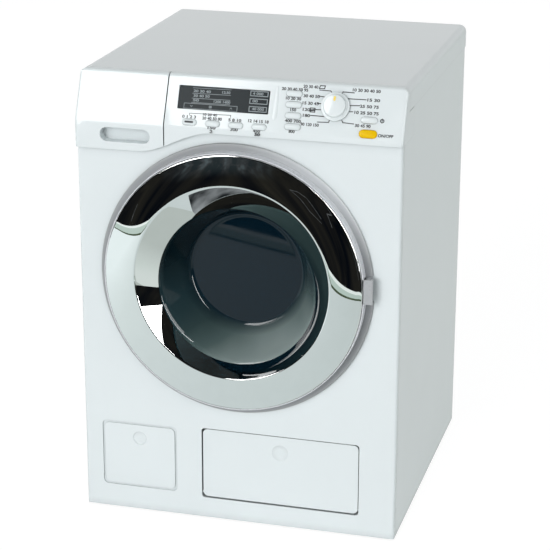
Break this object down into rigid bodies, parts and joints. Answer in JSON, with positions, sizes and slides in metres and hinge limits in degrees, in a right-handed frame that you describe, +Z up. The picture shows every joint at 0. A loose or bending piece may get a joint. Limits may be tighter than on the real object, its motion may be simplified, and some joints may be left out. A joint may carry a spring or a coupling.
{
  "type": "toy washing machine",
  "caption": "Toy front-loading washing machine with a hinged porthole door, a turning drum, a pull-out drawer, a turning selector, push buttons and a drop-down flap.",
  "frame": {"origin": "centre of the machine's width and depth, on the surface that the feet stand on", "axes": "+Z up, the door faces -Y, the door's hinge is on the +X side"},
  "size_m": [0.185, 0.1938, 0.2609],
  "materials": {
    "white_plastic": "smooth moulded plastic, half gloss",
    "inner_plastic": "plain moulded plastic",
    "grey_plastic": "smooth grey plastic",
    "light_grey_plastic": "smooth light grey plastic",
    "dark_plastic": "gloss black plastic",
    "orange_plastic": "half gloss",
    "chrome": "bright mirror plating",
    "steel": "bright steel",
    "drum_grey": "silver-grey moulded plastic",
    "smoked_window": "smoked clear plastic, polished",
    "rubber": "matte",
    "pale_rubber": "matte",
    "board_green": "lacquered board",
    "gear_plastic": "natural moulded plastic"
  },
  "bodies": {
    "casing": {"cabinet": "white_plastic", "front_panel": "white_plastic", "rear_cover": "white_plastic", "top_cover": "white_plastic", "control_fascia": "white_plastic", "display_window": "dark_plastic", "circuit_board": "board_green", "key_mat": "pale_rubber", "rotary_switch": "dark_plastic", "drawer_housing": "inner_plastic", "hinge_bracket": "light_grey_plastic", "hinge_pin": "steel", "door_catch": "inner_plastic", "door_seal": "pale_rubber", "tub": "inner_plastic", "shaft_bush": "gear_plastic", "motor_bracket": "inner_plastic", "motor": "steel", "gear_axle": "steel", "loudspeaker": "dark_plastic", "battery_box": "dark_plastic", "battery_cover": "white_plastic", "battery_screw": "steel", "service_pocket": "inner_plastic", "foot_front_left": "rubber", "foot_front_right": "rubber", "foot_rear_left": "rubber", "foot_rear_right": "rubber", "rear_screw_low_left": "steel", "rear_screw_low_right": "steel", "rear_screw_high_left": "steel", "rear_screw_high_right": "steel"},
    "door": {"door_frame": "grey_plastic", "door_ring": "chrome", "window_bowl": "smoked_window", "window_retainer": "inner_plastic", "hinge_arm": "light_grey_plastic", "door_hook": "inner_plastic"},
    "drum_body": {"drum": "drum_grey", "drum_shaft": "steel", "drum_gear": "gear_plastic"},
    "reduction_body": {"reduction_gear": "gear_plastic"},
    "motor_spindle": {"motor_pinion": "gear_plastic", "motor_shaft": "steel"},
    "drawer": {"drawer_front": "white_plastic", "drawer_tray": "inner_plastic"},
    "selector": {"program_knob": "white_plastic", "knob_shaft": "light_grey_plastic"},
    "flap": {"service_flap": "white_plastic"},
    "start_button_body": {"start_button": "white_plastic"},
    "temperature_button_body": {"temperature_button": "white_plastic"},
    "spin_button_body": {"spin_button": "white_plastic"},
    "extra_button_body": {"extra_button": "white_plastic"},
    "option_button_1_body": {"option_button_1": "white_plastic"},
    "option_button_2_body": {"option_button_2": "white_plastic"},
    "option_button_3_body": {"option_button_3": "white_plastic"},
    "option_button_4_body": {"option_button_4": "white_plastic"},
    "power_button_body": {"power_button": "white_plastic"},
    "door_button_body": {"door_button": "orange_plastic"}
  },
  "joints": [
    {"name": "door_hinge", "type": "hinge", "parent": "casing", "child": "door", "pos_m": [0.0765, -0.09075, 0.1508], "axis": [0, 0, 1], "range_deg": [0, 110]},
    {"name": "drum_spin", "type": "hinge", "parent": "casing", "child": "drum_body", "pos_m": [0, 0.02585, 0.1457], "axis": [0, 1, 0], "continuous": true},
    {"name": "reduction_spin", "type": "hinge", "parent": "casing", "child": "reduction_body", "pos_m": [0.02546, 0.04105, 0.12024], "axis": [0, 1, 0], "continuous": true},
    {"name": "motor_spin", "type": "hinge", "parent": "casing", "child": "motor_spindle", "pos_m": [0.05046, 0.04625, 0.12024], "axis": [0, 1, 0], "continuous": true},
    {"name": "drawer_slide", "type": "slide", "parent": "casing", "child": "drawer", "axis": [0, -1, 0], "range_m": [0, 0.045]},
    {"name": "selector_turn", "type": "hinge", "parent": "casing", "child": "selector", "pos_m": [0.054, -0.08165, 0.2496], "axis": [0, -0.9143, 0.4051], "continuous": true},
    {"name": "flap_hinge", "type": "hinge", "parent": "casing", "child": "flap", "pos_m": [0.0251, -0.08375, 0.0165], "axis": [1, 0, 0], "range_deg": [0, 90]},
    {"name": "start_press", "type": "slide", "parent": "casing", "child": "start_button_body", "axis": [0, 0.9143, -0.4051], "range_m": [0, 0.001], "stiffness_N_per_m": 150, "springref_m": -0.0005},
    {"name": "temperature_press", "type": "slide", "parent": "casing", "child": "temperature_button_body", "axis": [0, 0.9143, -0.4051], "range_m": [0, 0.001], "stiffness_N_per_m": 150, "springref_m": -0.0005},
    {"name": "spin_press", "type": "slide", "parent": "casing", "child": "spin_button_body", "axis": [0, 0.9143, -0.4051], "range_m": [0, 0.001], "stiffness_N_per_m": 150, "springref_m": -0.0005},
    {"name": "extra_press", "type": "slide", "parent": "casing", "child": "extra_button_body", "axis": [0, 0.9143, -0.4051], "range_m": [0, 0.001], "stiffness_N_per_m": 150, "springref_m": -0.0005},
    {"name": "option_1_press", "type": "slide", "parent": "casing", "child": "option_button_1_body", "axis": [0, 0.9143, -0.4051], "range_m": [0, 0.001], "stiffness_N_per_m": 150, "springref_m": -0.0005},
    {"name": "option_2_press", "type": "slide", "parent": "casing", "child": "option_button_2_body", "axis": [0, 0.9143, -0.4051], "range_m": [0, 0.001], "stiffness_N_per_m": 150, "springref_m": -0.0005},
    {"name": "option_3_press", "type": "slide", "parent": "casing", "child": "option_button_3_body", "axis": [0, 0.9143, -0.4051], "range_m": [0, 0.001], "stiffness_N_per_m": 150, "springref_m": -0.0005},
    {"name": "option_4_press", "type": "slide", "parent": "casing", "child": "option_button_4_body", "axis": [0, 0.9143, -0.4051], "range_m": [0, 0.001], "stiffness_N_per_m": 150, "springref_m": -0.0005},
    {"name": "power_press", "type": "slide", "parent": "casing", "child": "power_button_body", "axis": [0, 0.9143, -0.4051], "range_m": [0, 0.001], "stiffness_N_per_m": 150, "springref_m": -0.0005},
    {"name": "door_press", "type": "slide", "parent": "casing", "child": "door_button_body", "axis": [0, 0.9143, -0.4051], "range_m": [0, 0.001], "stiffness_N_per_m": 150, "springref_m": -0.0005}
  ],
  "couplings": [
    {"joint": "reduction_spin", "follows": "drum_spin", "ratio": -5},
    {"joint": "motor_spin", "follows": "drum_spin", "ratio": 20}
  ]
}
